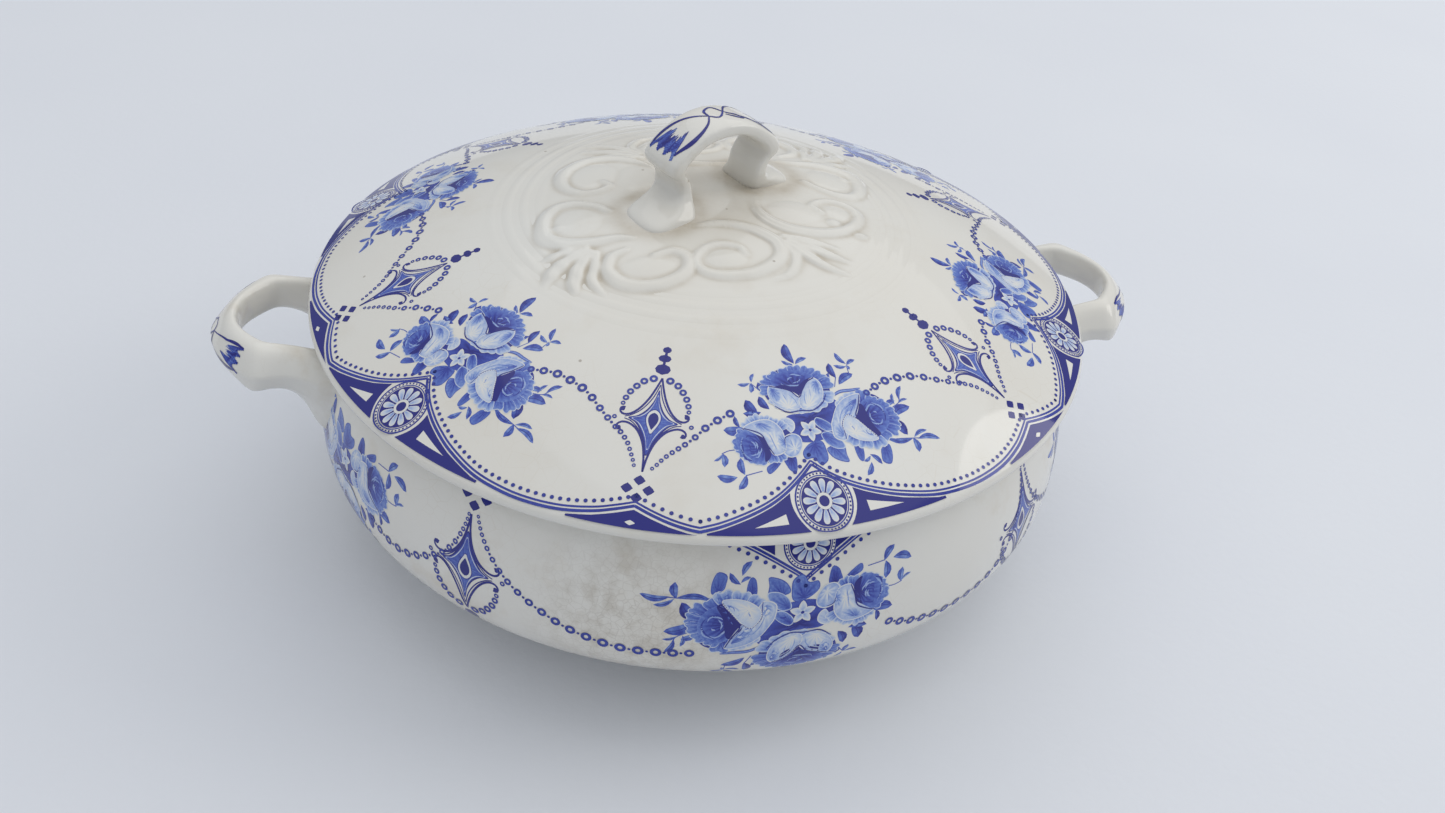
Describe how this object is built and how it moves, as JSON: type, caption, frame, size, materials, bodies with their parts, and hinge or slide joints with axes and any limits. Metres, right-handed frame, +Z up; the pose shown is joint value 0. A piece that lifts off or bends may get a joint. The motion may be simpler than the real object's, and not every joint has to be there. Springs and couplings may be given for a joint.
{
  "type": "soup tureen",
  "caption": "Round covered soup tureen: footed bowl with angular strap handles and a domed lift-off lid with an arched handle.",
  "frame": {"origin": "middle of the foot ring's resting face", "axes": "+Z up; +X through the right-hand side handle, along the line of the two side handles"},
  "size_m": [0.303, 0.245, 0.1396],
  "materials": {
    "bowl_glaze": "gloss",
    "lid_glaze": "gloss"
  },
  "bodies": {
    "bowl_body": {"bowl": "bowl_glaze", "foot_ring": "bowl_glaze", "handle_left": "bowl_glaze", "handle_right": "bowl_glaze"},
    "lid_body": {"lid": "lid_glaze", "lid_handle": "lid_glaze", "lid_scrollwork": "lid_glaze"}
  },
  "joints": [
    {"name": "lid_lift", "type": "slide", "parent": "bowl_body", "child": "lid_body", "axis": [0, 0, 1], "range_m": [0, 0.12]}
  ]
}
